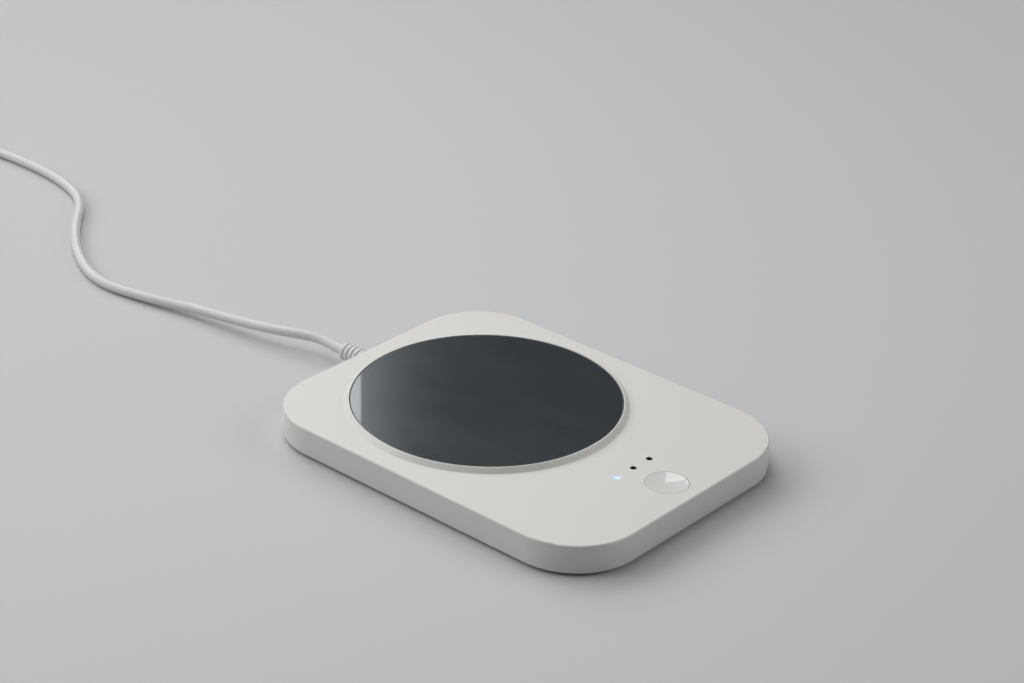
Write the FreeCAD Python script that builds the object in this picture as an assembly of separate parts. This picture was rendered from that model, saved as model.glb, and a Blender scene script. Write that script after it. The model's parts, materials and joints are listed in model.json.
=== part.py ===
import FreeCAD, Part
import math
import os

# Electric mug warmer: a low rounded plate with a heated glass disc, three indicator lights and a push button.
# Millimetres, +Z up. The origin is on the table under the middle of the casing.
# +X points to the end with the button, and the cord leaves the other end.

# Casing: as wide as the disc and a border each side, and longer by the strip that holds the controls
GLASS_RADIUS = 45.0
DISC_BORDER = 9.0
CONTROL_STRIP = 33.0
PLATE_WIDTH = 2 * (GLASS_RADIUS + DISC_BORDER)
PLATE_LENGTH = PLATE_WIDTH + CONTROL_STRIP
CORNER_RADIUS = 23.5
CASING_BOTTOM = 1.0
CASING_TOP = 10.75
WALL = 1.8
ROOF = 1.8
TOP_EDGE_RADIUS = 0.6
BOTTOM_EDGE_CHAMFER = 0.3
FLOOR = 1.8
FLOOR_CLEARANCE = 0.15

# Heated disc and the collar round it
GLASS_THICKNESS = 3.0
GLASS_BEVEL = 0.25
GLASS_CLEARANCE = 0.15
GLASS_BELOW_LIP = 0.15
COLLAR_HEIGHT = 1.6
COLLAR_LIP = 0.35
COLLAR_SLOPE = 1.5
COLLAR_FOOT_RADIUS = 0.35
LEDGE_WIDTH = 3.0
LEDGE_THICKNESS = 1.5
SEAL_THICKNESS = 0.3

# Heater stack under the glass, from the top down
SPREADER_THICKNESS = 1.2
SPREADER_CLEARANCE = 1.15
MICA_THICKNESS = 0.3
MICA_INSET = 1.5
TRACK_THICKNESS = 0.2
TRACK_WIDTH = 3.2
TRACK_PITCH = 5.6
TRACK_LOOPS = 5
TRACK_FIRST_RADIUS = 9.0
TRACK_GAP = 7.0
PAD_THICKNESS = 1.5
BACKPLATE_THICKNESS = 0.6
SENSOR_RADIUS = 2.6
SENSOR_HOLE_CLEARANCE = 0.4
SENSOR_LEAD_HOLE = 1.5
LEAD_HOLE_CLEARANCE = 0.5
EAR_RADIUS = 3.2
HEATER_SCREW_OFFSET = 3.05

# Screws: case, heater and board
CASE_SCREW_INSET = 8.0
CASE_SCREW_SHANK = 1.05
CASE_SCREW_HEAD = 2.3
CASE_SCREW_HEAD_HEIGHT = 1.4
CASE_SCREW_GRIP = 2.6
CASE_BOSS_RADIUS = 3.5
CASE_TOWER_TOP = 6.0
TOWER_WEB = 2.2
SCREW_SLOT_WIDTH = 0.5
SCREW_SLOT_SHARE = 0.6
SMALL_SCREW_SHANK = 0.8
SMALL_SCREW_HEAD = 1.9
SMALL_SCREW_HEAD_HEIGHT = 1.2
SMALL_SCREW_GRIP = 2.0
SMALL_BOSS_RADIUS = 2.8
PILOT_CLEARANCE = 0.05
SHANK_CLEARANCE = 0.3
HEAD_CLEARANCE = 0.3

# Feet
FOOT_RADIUS = 5.0
FOOT_CLEARANCE = 0.1
FOOT_SOCKET_DEPTH = 0.8
FOOT_EDGE = 0.3

# Control board
BOARD_LENGTH = 28.0
BOARD_WIDTH = 52.0
BOARD_THICKNESS = 1.2
BOARD_BOTTOM = 4.4
BOARD_WALL_GAP = 2.7
BOARD_SCREW_INSET = 3.6
CHIP_SIZE = (5.0, 4.0, 1.5)
TRANSISTOR_SIZE = (6.5, 6.0, 2.3)
CHIP_SETBACK = 17.5
CHIP_Y = 15.0
TRANSISTOR_SETBACK = 10.5
TRANSISTOR_Y = -15.0

# Button and its switch
BUTTON_RADIUS = 7.0
BUTTON_END_DISTANCE = 11.5
BUTTON_CLEARANCE = 0.12
BUTTON_DISH_DEPTH = 0.6
BUTTON_RIM = 0.2
BUTTON_FLANGE = 1.3
BUTTON_TOP_GAP = 0.1
BUTTON_TRAVEL = 0.4
BUTTON_RIM_CHAMFER = 0.08
SWITCH_SIZE = 6.0
SWITCH_HEIGHT = 1.6
PLUNGER_RADIUS = 1.6
PLUNGER_PROUD = 0.6
PLUNGER_DEPTH = 0.4
PLUNGER_CLEARANCE = 0.06

# Indicator lights
LIGHT_END_DISTANCE = 25.0
LIGHT_PITCH = 8.0
LIGHT_RADIUS = 1.05
LIGHT_CLEARANCE = 0.05
LIGHT_BELOW_TOP = 0.25
LIGHT_FLANGE = 0.65
LIGHT_FLANGE_THICKNESS = 0.8
LED_SIZE = (2.0, 1.25, 0.8)
LED_GAP = 0.1
SHIELD_MARGIN = 2.6
SHIELD_END_MARGIN = 3.0
LED_POCKET_CLEARANCE = 0.5

# Cord, its strain relief and its end inside the casing
CORD_RADIUS = 1.75
CORD_FLOOR_GAP = 0.05
CORD_EXIT_HEIGHT = 5.8
RELIEF_COLLAR_LENGTH = 1.4
RELIEF_COLLAR_RADIUS = 3.6
RELIEF_RINGS = 5
RELIEF_RING_PITCH = 2.0
RELIEF_RING_WIDTH = 1.2
RELIEF_ROOT_RADIUS = 3.35
RELIEF_END_RADIUS = 3.1
RELIEF_CORE_RADIUS = 2.6
RELIEF_NOSE_LENGTH = 0.3
NECK_RADIUS = 2.9
NECK_CLEARANCE = 0.1
FLANGE_THICKNESS = 1.8
FLANGE_WIDTH = 9.0
FLANGE_ROOF_GAP = 0.2
SHEATH_END_LENGTH = 3.2
TIE_WIDTH = 2.0
TIE_THICKNESS = 0.8
TIE_HEAD = 2.2
TIE_CLEARANCE = 0.05

# Wires inside
WIRE_RADIUS = 0.65
SENSOR_WIRE_RADIUS = 0.4
FUSE_SIZE = (4.0, 6.0, 2.0)
FUSE_CORNER = 0.6
FUSE_OFFSET_X = 20.0
FUSE_Y = -13.0
PAD_LEAD = 3.5
WIRE_STEP = 1.5
WIRE_LEVEL_RUN = 8.0
FUSE_LEAD_BEND = 4.0
FUSE_WIRE_RUN = 12.0
SENSOR_WIRE_RUN = 14.0
SUPPLY_ENTRY_STEP = 2.0
SUPPLY_FIRST_RUN = 16.0
SUPPLY_FIRST_BOW = 14.0
SUPPLY_WIDEST_X = 18.0
SUPPLY_WIDEST_BOW = 27.0
SUPPLY_LEAD_IN = 6.0
SUPPLY_PAD_Y = 18.0

# The coil that holds the rest of the cord, and the plug beside it
COIL_X = -343.0
COIL_Y = 6.4
COIL_OUTER_RADIUS = 26.0
COIL_PITCH = 4.85
COIL_LAYER_RISE = 4.0
COIL_HALF_TURNS_PER_LAYER = 5
COIL_END_LENGTH = 2 * CORD_RADIUS
CORD_LEAD_IN = 12.0
TAIL_STRAIGHT = 6.5
TAIL_LENGTH = 21.5
TAIL_SIDESTEP = 1.2
PLUG_AXIS_HEIGHT = 3.9
PLUG_BOOT_LENGTH = 7.0
PLUG_BOOT_RADIUS = 3.2
PLUG_BOOT_TIP_RADIUS = 2.3
PLUG_BODY_LENGTH = 19.0
PLUG_BODY_WIDTH = 15.4
PLUG_BODY_THICKNESS = 7.6
PLUG_BODY_ROUND = 2.0
SHELL_LENGTH = 12.0
SHELL_WIDTH = 12.0
SHELL_THICKNESS = 4.5
SHELL_SHEET = 0.3
SHELL_SEAT = 5.0
SHELL_WINDOW = 2.2
SHELL_WINDOW_SPACING = 5.0
TONGUE_SETBACK = 0.6
TONGUE_THICKNESS = 1.85
CONTACT_WIDTH = 1.0
CONTACT_THICKNESS = 0.2
CONTACT_PITCH = 2.3
CONTACT_LENGTH = 8.0
CONTACT_COUNT = 4

# Heights and places worked out from the sizes above
ROOF_UNDERSIDE = CASING_TOP - ROOF
FLOOR_TOP = CASING_BOTTOM + FLOOR
HEATER_X = -CONTROL_STRIP / 2
LIP_TOP = CASING_TOP + COLLAR_HEIGHT
GLASS_TOP = LIP_TOP - GLASS_BELOW_LIP
GLASS_BOTTOM = GLASS_TOP - GLASS_THICKNESS
WELL_RADIUS = GLASS_RADIUS + GLASS_CLEARANCE
WELL_OUTER_RADIUS = WELL_RADIUS + WALL
HEATER_SCREW_CIRCLE = WELL_OUTER_RADIUS + HEATER_SCREW_OFFSET
COLLAR_TOP_RADIUS = WELL_RADIUS + COLLAR_LIP
COLLAR_FOOT = COLLAR_TOP_RADIUS + COLLAR_SLOPE
LEDGE_TOP = GLASS_BOTTOM - SEAL_THICKNESS
LEDGE_BOTTOM = LEDGE_TOP - LEDGE_THICKNESS
LEDGE_RADIUS = WELL_RADIUS - LEDGE_WIDTH
SPREADER_RADIUS = LEDGE_RADIUS - SPREADER_CLEARANCE
SPREADER_BOTTOM = GLASS_BOTTOM - SPREADER_THICKNESS
MICA_RADIUS = SPREADER_RADIUS - MICA_INSET
UPPER_MICA_BOTTOM = SPREADER_BOTTOM - MICA_THICKNESS
TRACK_BOTTOM = UPPER_MICA_BOTTOM - TRACK_THICKNESS
LOWER_MICA_BOTTOM = TRACK_BOTTOM - MICA_THICKNESS
PAD_BOTTOM = LOWER_MICA_BOTTOM - PAD_THICKNESS
BACKPLATE_BOTTOM = PAD_BOTTOM - BACKPLATE_THICKNESS
SENSOR_HOLE = SENSOR_RADIUS + SENSOR_HOLE_CLEARANCE
TRACK_LAST_RADIUS = TRACK_FIRST_RADIUS + TRACK_PITCH * (TRACK_LOOPS - 1)
TERMINAL_Y = TRACK_GAP / 2 + TRACK_WIDTH / 2
OUTER_TERMINAL_X = HEATER_X + math.sqrt(TRACK_LAST_RADIUS ** 2 - TERMINAL_Y ** 2)
INNER_TERMINAL_X = HEATER_X + math.sqrt(TRACK_FIRST_RADIUS ** 2 - TERMINAL_Y ** 2)
BOARD_TOP = BOARD_BOTTOM + BOARD_THICKNESS
BOARD_X1 = PLATE_LENGTH / 2 - WALL - BOARD_WALL_GAP
BOARD_X0 = BOARD_X1 - BOARD_LENGTH
CHIP_X = BOARD_X1 - CHIP_SETBACK
TRANSISTOR_X = BOARD_X1 - TRANSISTOR_SETBACK
BUTTON_X = PLATE_LENGTH / 2 - BUTTON_END_DISTANCE
LIGHT_X = PLATE_LENGTH / 2 - LIGHT_END_DISTANCE
LIGHT_YS = [-LIGHT_PITCH, 0.0, LIGHT_PITCH]
SWITCH_TOP = BOARD_TOP + SWITCH_HEIGHT
PLUNGER_TOP = SWITCH_TOP + PLUNGER_PROUD
FLANGE_TOP = ROOF_UNDERSIDE - BUTTON_TOP_GAP
LED_TOP = BOARD_TOP + LED_SIZE[2]
FOOT_SOCKET_TOP = CASING_BOTTOM + FOOT_SOCKET_DEPTH
CASE_HEAD_SEAT = CASE_TOWER_TOP - TOWER_WEB
END_X = -PLATE_LENGTH / 2
WALL_INSIDE_X = END_X + WALL
RELIEF_RING_START = END_X - RELIEF_COLLAR_LENGTH
RELIEF_END_X = RELIEF_RING_START - RELIEF_RINGS * RELIEF_RING_PITCH - RELIEF_NOSE_LENGTH
FLANGE_INNER_X = WALL_INSIDE_X + FLANGE_THICKNESS
SHEATH_END_X = FLANGE_INNER_X + SHEATH_END_LENGTH
FUSE_X = HEATER_X + FUSE_OFFSET_X
PAD_X = BOARD_X0 + PAD_LEAD
WIRE_HEIGHT = BOARD_BOTTOM - WIRE_RADIUS
SENSOR_WIRE_HEIGHT = BOARD_BOTTOM - SENSOR_WIRE_RADIUS
CORD_HEIGHT = CORD_RADIUS + CORD_FLOOR_GAP

# The cord's route from the strain relief to the coil, as chosen points
CORD_ROUTE = [
    (RELIEF_END_X, 0.0, CORD_EXIT_HEIGHT),
    (-86.5, 0.0, CORD_EXIT_HEIGHT),
    (-95.0, 0.0, 6.4),
    (-108.0, -5.0, 6.0),
    (-124.0, -7.9, 4.6),
    (-145.0, -10.1, 3.2),
    (-169.0, -15.8, 2.0),
    (-191.0, -18.9, CORD_HEIGHT),
    (-213.0, -9.2, CORD_HEIGHT),
    (-232.0, 5.4, CORD_HEIGHT),
    (-249.0, 23.6, CORD_HEIGHT),
    (-268.0, 30.6, CORD_HEIGHT),
    (-292.0, 32.6, CORD_HEIGHT),
    (-316.0, 30.9, CORD_HEIGHT),
    (COIL_X + COIL_END_LENGTH + CORD_LEAD_IN, COIL_Y + COIL_OUTER_RADIUS, CORD_HEIGHT),
    (COIL_X + COIL_END_LENGTH, COIL_Y + COIL_OUTER_RADIUS, CORD_HEIGHT),
]

COIL_TOP_HEIGHT = CORD_HEIGHT + COIL_LAYER_RISE
COIL_EXIT_Y = COIL_Y - COIL_OUTER_RADIUS
PLUG_Y = COIL_EXIT_Y - TAIL_SIDESTEP
PLUG_X = COIL_X + COIL_END_LENGTH + TAIL_LENGTH

TAIL_ROUTE = [
    (COIL_X + COIL_END_LENGTH, COIL_EXIT_Y, COIL_TOP_HEIGHT),
    (COIL_X + COIL_END_LENGTH + TAIL_STRAIGHT, COIL_EXIT_Y, COIL_TOP_HEIGHT),
    (PLUG_X - TAIL_STRAIGHT, PLUG_Y, PLUG_AXIS_HEIGHT),
    (PLUG_X, PLUG_Y, PLUG_AXIS_HEIGHT),
]


def vector(x, y, z):
    return FreeCAD.Vector(x, y, z)


def box(x0, x1, y0, y1, z0, z1):
    return Part.makeBox(x1 - x0, y1 - y0, z1 - z0, vector(x0, y0, z0))


def cylinder(x, y, z0, z1, radius):
    return Part.makeCylinder(radius, z1 - z0, vector(x, y, z0))


def rod_x(x0, x1, y, z, radius):
    return Part.makeCylinder(radius, x1 - x0, vector(x0, y, z), vector(1, 0, 0))


def ring(x, y, z0, z1, outer, inner):
    return cylinder(x, y, z0, z1, outer).cut(cylinder(x, y, z0 - 1, z1 + 1, inner))


def upright_edges(solid, half_length, half_width):
    """The four vertical edges at the corners of a block."""
    found = []
    for edge in solid.Edges:
        low, high = edge.Vertexes[0].Point, edge.Vertexes[-1].Point
        at_corner = abs(abs(low.x) - half_length) < 0.01 and abs(abs(low.y) - half_width) < 0.01
        if at_corner and abs(low.x - high.x) < 0.01 and abs(low.y - high.y) < 0.01:
            found.append(edge)
    return found


def rounded_plate(length, width, radius, z0, z1):
    block = box(-length / 2, length / 2, -width / 2, width / 2, z0, z1)
    return block.makeFillet(radius, upright_edges(block, length / 2, width / 2))


def edges_at_height(solid, z, half_length, half_width):
    """The outline edges at one height that lie on the outside of the plate."""
    found = []
    for edge in solid.Edges:
        bounds = edge.BoundBox
        flat = abs(bounds.ZMin - z) < 0.01 and abs(bounds.ZMax - z) < 0.01
        outside_x = max(abs(bounds.XMin), abs(bounds.XMax)) > half_length - 0.01
        outside_y = max(abs(bounds.YMin), abs(bounds.YMax)) > half_width - 0.01
        if flat and (outside_x or outside_y):
            found.append(edge)
    return found


def revolve(edges, centre, axis):
    face = Part.Face(Part.Wire(edges))
    return face.revolve(centre, axis, 360)


def polygon_edges(points):
    corners = [vector(*point) for point in points]
    ends = corners[1:] + corners[:1]
    return [Part.LineSegment(a, b).toShape() for a, b in zip(corners, ends)]


def routed_path(points):
    """Straight runs joined by tangent arcs, each as large as its two runs allow."""
    corners = [vector(*point) for point in points]
    edges = []
    radii = []
    start = corners[0]
    for before, corner, after in zip(corners, corners[1:], corners[2:]):
        back = before - corner
        ahead = after - corner
        reach = 0.45 * min(back.Length, ahead.Length)
        back.normalize()
        ahead.normalize()
        half_turn = (math.pi - back.getAngle(ahead)) / 2
        radius = reach / math.tan(half_turn)
        inward = back + ahead
        inward.normalize()
        middle = corner + inward * (radius / math.cos(half_turn) - radius)
        first = corner + back * reach
        last = corner + ahead * reach
        edges.append(Part.LineSegment(start, first).toShape())
        edges.append(Part.Arc(first, middle, last).toShape())
        radii.append(radius)
        start = last
    edges.append(Part.LineSegment(start, corners[-1]).toShape())
    return Part.Wire(edges), radii


def tube_along(path, radius):
    """A round tube on a path of lines and arcs."""
    first = path.OrderedEdges[0]
    start = first.valueAt(first.FirstParameter)
    direction = first.tangentAt(first.FirstParameter)
    section = Part.Wire([Part.makeCircle(radius, start, direction)])
    return path.makePipeShell([section], True, False)


def wire_tube(points, radius):
    path, _ = routed_path(points)
    return tube_along(path, radius)


def mirrored_pairs(x, y):
    return [(x, y), (x, -y), (-x, y), (-x, -y)]


def case_screw_places():
    inset = CORNER_RADIUS - CASE_SCREW_INSET
    reach = inset / math.sqrt(2)
    x = PLATE_LENGTH / 2 - CORNER_RADIUS + reach
    y = PLATE_WIDTH / 2 - CORNER_RADIUS + reach
    return mirrored_pairs(x, y)


def heater_screw_places():
    reach = HEATER_SCREW_CIRCLE / math.sqrt(2)
    return [(HEATER_X + x, y) for x, y in mirrored_pairs(reach, reach)]


def board_screw_places():
    x0 = BOARD_X0 + BOARD_SCREW_INSET
    x1 = BOARD_X1 - BOARD_SCREW_INSET
    y = BOARD_WIDTH / 2 - BOARD_SCREW_INSET
    return [(x0, y), (x0, -y), (x1, y), (x1, -y)]


def pan_screw(x, y, seat, top, shank, head, head_height):
    """A screw from below: its head hangs under the seat."""
    screw = cylinder(x, y, seat, top, shank).fuse(cylinder(x, y, seat - head_height, seat, head))
    reach = head * SCREW_SLOT_SHARE
    half = SCREW_SLOT_WIDTH / 2
    z0 = seat - head_height - 1
    z1 = seat - head_height * SCREW_SLOT_SHARE
    bar = box(x - reach, x + reach, y - half, y + half, z0, z1)
    cross = box(x - half, x + half, y - reach, y + reach, z0, z1)
    return screw.cut(bar).cut(cross)


def collar_ring():
    """The well for the glass: its wall, its inner ledge and the sloping collar above the roof."""
    slope = math.atan2(COLLAR_HEIGHT, COLLAR_SLOPE)
    foot_reach = COLLAR_FOOT_RADIUS * math.tan(slope / 2)
    centre_r = COLLAR_FOOT + foot_reach
    centre_z = CASING_TOP + COLLAR_FOOT_RADIUS
    middle_angle = -math.pi / 2 - slope / 2

    def at(radius, z):
        return vector(HEATER_X + radius, 0, z)

    on_roof = at(centre_r, CASING_TOP)
    middle = at(centre_r + COLLAR_FOOT_RADIUS * math.cos(middle_angle),
                centre_z + COLLAR_FOOT_RADIUS * math.sin(middle_angle))
    on_slope = at(centre_r + COLLAR_FOOT_RADIUS * math.cos(-math.pi / 2 - slope),
                  centre_z + COLLAR_FOOT_RADIUS * math.sin(-math.pi / 2 - slope))
    corners = [
        on_slope,
        at(COLLAR_TOP_RADIUS, LIP_TOP),
        at(WELL_RADIUS, LIP_TOP),
        at(WELL_RADIUS, LEDGE_TOP),
        at(LEDGE_RADIUS, LEDGE_TOP),
        at(LEDGE_RADIUS, LEDGE_BOTTOM),
        at(WELL_OUTER_RADIUS, LEDGE_BOTTOM),
        at(WELL_OUTER_RADIUS, ROOF_UNDERSIDE),
        at(centre_r, ROOF_UNDERSIDE),
        on_roof,
    ]
    edges = [Part.LineSegment(a, b).toShape() for a, b in zip(corners, corners[1:])]
    edges.append(Part.Arc(on_roof, middle, on_slope).toShape())
    return revolve(edges, vector(HEATER_X, 0, 0), vector(0, 0, 1))


def make_top_cover():
    outer = rounded_plate(PLATE_LENGTH, PLATE_WIDTH, CORNER_RADIUS, CASING_BOTTOM, CASING_TOP)
    half_length = PLATE_LENGTH / 2
    half_width = PLATE_WIDTH / 2
    outer = outer.makeFillet(TOP_EDGE_RADIUS, edges_at_height(outer, CASING_TOP, half_length, half_width))
    lower = edges_at_height(outer, CASING_BOTTOM, half_length, half_width)
    outer = outer.makeChamfer(BOTTOM_EDGE_CHAMFER, lower)
    inside = rounded_plate(PLATE_LENGTH - 2 * WALL, PLATE_WIDTH - 2 * WALL, CORNER_RADIUS - WALL,
                           CASING_BOTTOM - 1, ROOF_UNDERSIDE)
    cover = outer.cut(inside)
    cover = cover.cut(cylinder(HEATER_X, 0, ROOF_UNDERSIDE - 1, CASING_TOP + 1, WELL_RADIUS + COLLAR_LIP))
    bosses = []
    for x, y in case_screw_places():
        bosses.append(cylinder(x, y, CASE_TOWER_TOP, ROOF_UNDERSIDE, CASE_BOSS_RADIUS))
    for x, y in heater_screw_places():
        bosses.append(cylinder(x, y, PAD_BOTTOM, ROOF_UNDERSIDE, SMALL_BOSS_RADIUS))
    for x, y in board_screw_places():
        bosses.append(cylinder(x, y, BOARD_TOP, ROOF_UNDERSIDE, SMALL_BOSS_RADIUS))
    cover = cover.fuse(bosses)
    cover = cover.fuse(collar_ring())
    for x, y in case_screw_places():
        pilot = CASE_SCREW_SHANK + PILOT_CLEARANCE
        cover = cover.cut(cylinder(x, y, CASE_TOWER_TOP - 1, ROOF_UNDERSIDE, pilot))
    for x, y in heater_screw_places() + board_screw_places():
        pilot = SMALL_SCREW_SHANK + PILOT_CLEARANCE
        cover = cover.cut(cylinder(x, y, BOARD_BOTTOM - 1, ROOF_UNDERSIDE, pilot))
    cover = cover.cut(cylinder(BUTTON_X, 0, ROOF_UNDERSIDE - 1, CASING_TOP + 1, BUTTON_RADIUS + BUTTON_CLEARANCE))
    for y in LIGHT_YS:
        hole = LIGHT_RADIUS + LIGHT_CLEARANCE
        cover = cover.cut(cylinder(LIGHT_X, y, ROOF_UNDERSIDE - 1, CASING_TOP + 1, hole))
    slot = NECK_RADIUS + NECK_CLEARANCE
    cover = cover.cut(rod_x(END_X - 1, WALL_INSIDE_X + 0.5, 0, CORD_EXIT_HEIGHT, slot))
    cover = cover.cut(box(END_X - 1, WALL_INSIDE_X + 0.5, -slot, slot, CASING_BOTTOM - 1, CORD_EXIT_HEIGHT))
    return cover.removeSplitter()


def make_bottom_cover():
    inset = WALL + FLOOR_CLEARANCE
    plate = rounded_plate(PLATE_LENGTH - 2 * inset, PLATE_WIDTH - 2 * inset, CORNER_RADIUS - inset,
                          CASING_BOTTOM, FLOOR_TOP)
    towers = [cylinder(x, y, FLOOR_TOP, CASE_TOWER_TOP, CASE_BOSS_RADIUS) for x, y in case_screw_places()]
    cover = plate.fuse(towers)
    # The tongue that closes the wall's slot under the strain relief's neck
    half_tongue = NECK_RADIUS
    tongue = box(END_X, WALL_INSIDE_X + FLOOR_CLEARANCE + 0.5, -half_tongue, half_tongue, CASING_BOTTOM, FLOOR_TOP)
    neck_room = rod_x(END_X - 1, WALL_INSIDE_X + 2, 0, CORD_EXIT_HEIGHT, NECK_RADIUS + NECK_CLEARANCE)
    riser = box(END_X, WALL_INSIDE_X, -half_tongue, half_tongue, FLOOR_TOP - 0.5, CORD_EXIT_HEIGHT)
    cover = cover.fuse([tongue, riser]).cut(neck_room)
    for x, y in case_screw_places():
        cover = cover.cut(cylinder(x, y, CASING_BOTTOM - 1, FOOT_SOCKET_TOP, FOOT_RADIUS + FOOT_CLEARANCE))
        cover = cover.cut(cylinder(x, y, CASING_BOTTOM, CASE_HEAD_SEAT, CASE_SCREW_HEAD + HEAD_CLEARANCE))
        cover = cover.cut(cylinder(x, y, CASING_BOTTOM, CASE_TOWER_TOP + 1, CASE_SCREW_SHANK + SHANK_CLEARANCE))
    return cover.removeSplitter()


def make_case_screws():
    top = CASE_TOWER_TOP + CASE_SCREW_GRIP
    return [pan_screw(x, y, CASE_HEAD_SEAT, top, CASE_SCREW_SHANK, CASE_SCREW_HEAD, CASE_SCREW_HEAD_HEIGHT)
            for x, y in case_screw_places()]


def make_rubber_feet():
    feet = []
    for x, y in case_screw_places():
        foot = cylinder(x, y, 0, FOOT_SOCKET_TOP, FOOT_RADIUS)
        rim = [edge for edge in foot.Edges if edge.BoundBox.ZMax < 0.01]
        feet.append(foot.makeChamfer(FOOT_EDGE, rim))
    return feet


def make_glass_plate():
    glass = cylinder(HEATER_X, 0, GLASS_BOTTOM, GLASS_TOP, GLASS_RADIUS)
    rim = [edge for edge in glass.Edges if edge.BoundBox.ZMin > GLASS_TOP - 0.01]
    return glass.makeChamfer(GLASS_BEVEL, rim)


def make_glass_seal():
    return ring(HEATER_X, 0, LEDGE_TOP, GLASS_BOTTOM, GLASS_RADIUS, LEDGE_RADIUS)


def make_heat_spreader():
    return cylinder(HEATER_X, 0, SPREADER_BOTTOM, GLASS_BOTTOM, SPREADER_RADIUS)


def make_mica_sheet(z0, lead_holes):
    sheet = cylinder(HEATER_X, 0, z0, z0 + MICA_THICKNESS, MICA_RADIUS)
    sheet = sheet.cut(cylinder(HEATER_X, 0, z0 - 1, z0 + MICA_THICKNESS + 1, SENSOR_HOLE))
    if lead_holes:
        sheet = cut_lead_holes(sheet, z0, z0 + MICA_THICKNESS)
    return sheet


def cut_lead_holes(sheet, z0, z1):
    for x, y in ((OUTER_TERMINAL_X, TERMINAL_Y), (INNER_TERMINAL_X, -TERMINAL_Y)):
        sheet = sheet.cut(cylinder(x, y, z0 - 1, z1 + 1, WIRE_RADIUS + LEAD_HOLE_CLEARANCE))
    return sheet


def make_heater_track():
    """One strip that runs round and back in broken rings, each joined to the next at one side of the gap."""
    z0 = TRACK_BOTTOM
    z1 = UPPER_MICA_BOTTOM
    half_gap = TRACK_GAP / 2
    radii = [TRACK_FIRST_RADIUS + TRACK_PITCH * loop for loop in range(TRACK_LOOPS)]
    pieces = []
    for loop, radius in enumerate(radii):
        band = ring(HEATER_X, 0, z0, z1, radius + TRACK_WIDTH / 2, radius - TRACK_WIDTH / 2)
        band = band.cut(box(HEATER_X, HEATER_X + radius * 2, -half_gap, half_gap, z0 - 1, z1 + 1))
        pieces.append(band)
        if loop < TRACK_LOOPS - 1:
            near = half_gap if loop % 2 == 0 else -half_gap - TRACK_WIDTH
            pieces.append(box(HEATER_X + radius - TRACK_WIDTH / 3, HEATER_X + radius + TRACK_PITCH,
                              near, near + TRACK_WIDTH, z0, z1))
    return pieces[0].fuse(pieces[1:]).removeSplitter()


def make_insulation_pad():
    pad = cylinder(HEATER_X, 0, PAD_BOTTOM, LOWER_MICA_BOTTOM, MICA_RADIUS)
    pad = pad.cut(cylinder(HEATER_X, 0, PAD_BOTTOM - 1, LOWER_MICA_BOTTOM + 1, SENSOR_HOLE))
    return cut_lead_holes(pad, PAD_BOTTOM, LOWER_MICA_BOTTOM)


def make_heater_backplate():
    plate = cylinder(HEATER_X, 0, BACKPLATE_BOTTOM, PAD_BOTTOM, SPREADER_RADIUS)
    for x, y in heater_screw_places():
        arm = box(0, HEATER_SCREW_CIRCLE, -EAR_RADIUS, EAR_RADIUS, BACKPLATE_BOTTOM, PAD_BOTTOM)
        arm.rotate(vector(0, 0, 0), vector(0, 0, 1), math.degrees(math.atan2(y, x - HEATER_X)))
        arm.translate(vector(HEATER_X, 0, 0))
        plate = plate.fuse([arm, cylinder(x, y, BACKPLATE_BOTTOM, PAD_BOTTOM, EAR_RADIUS)])
    for x, y in heater_screw_places():
        hole = SMALL_SCREW_SHANK + SHANK_CLEARANCE
        plate = plate.cut(cylinder(x, y, BACKPLATE_BOTTOM - 1, PAD_BOTTOM + 1, hole))
    plate = plate.cut(cylinder(HEATER_X, 0, BACKPLATE_BOTTOM - 1, PAD_BOTTOM + 1, SENSOR_LEAD_HOLE))
    return cut_lead_holes(plate, BACKPLATE_BOTTOM, PAD_BOTTOM).removeSplitter()


def make_heater_screws():
    top = PAD_BOTTOM + SMALL_SCREW_GRIP
    return [pan_screw(x, y, BACKPLATE_BOTTOM, top, SMALL_SCREW_SHANK, SMALL_SCREW_HEAD, SMALL_SCREW_HEAD_HEIGHT)
            for x, y in heater_screw_places()]


def make_temperature_sensor():
    return cylinder(HEATER_X, 0, PAD_BOTTOM, SPREADER_BOTTOM, SENSOR_RADIUS)


def make_sensor_wires():
    wires = []
    for side in (1, -1):
        y = side * (SENSOR_WIRE_RADIUS + 0.2)
        wires.append(wire_tube([
            (HEATER_X, y, PAD_BOTTOM),
            (HEATER_X, y, SENSOR_WIRE_HEIGHT),
            (HEATER_X + SENSOR_WIRE_RUN, y + side * SENSOR_WIRE_RADIUS, SENSOR_WIRE_HEIGHT),
            (PAD_X, y, SENSOR_WIRE_HEIGHT),
        ], SENSOR_WIRE_RADIUS))
    return wires


def make_thermal_fuse():
    length, width, height = FUSE_SIZE
    fuse = box(FUSE_X - length / 2, FUSE_X + length / 2, FUSE_Y - width / 2, FUSE_Y + width / 2,
               BACKPLATE_BOTTOM - height, BACKPLATE_BOTTOM)
    upright = [edge for edge in fuse.Edges if edge.BoundBox.ZLength > height - 0.01]
    return fuse.makeFillet(FUSE_CORNER, upright)


def make_heater_wire_a():
    return wire_tube([
        (OUTER_TERMINAL_X, TERMINAL_Y, TRACK_BOTTOM),
        (OUTER_TERMINAL_X, TERMINAL_Y, WIRE_HEIGHT),
        (OUTER_TERMINAL_X + WIRE_LEVEL_RUN, TERMINAL_Y + WIRE_STEP, WIRE_HEIGHT),
        (PAD_X, TERMINAL_Y + 2 * WIRE_STEP, WIRE_HEIGHT),
    ], WIRE_RADIUS)


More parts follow.
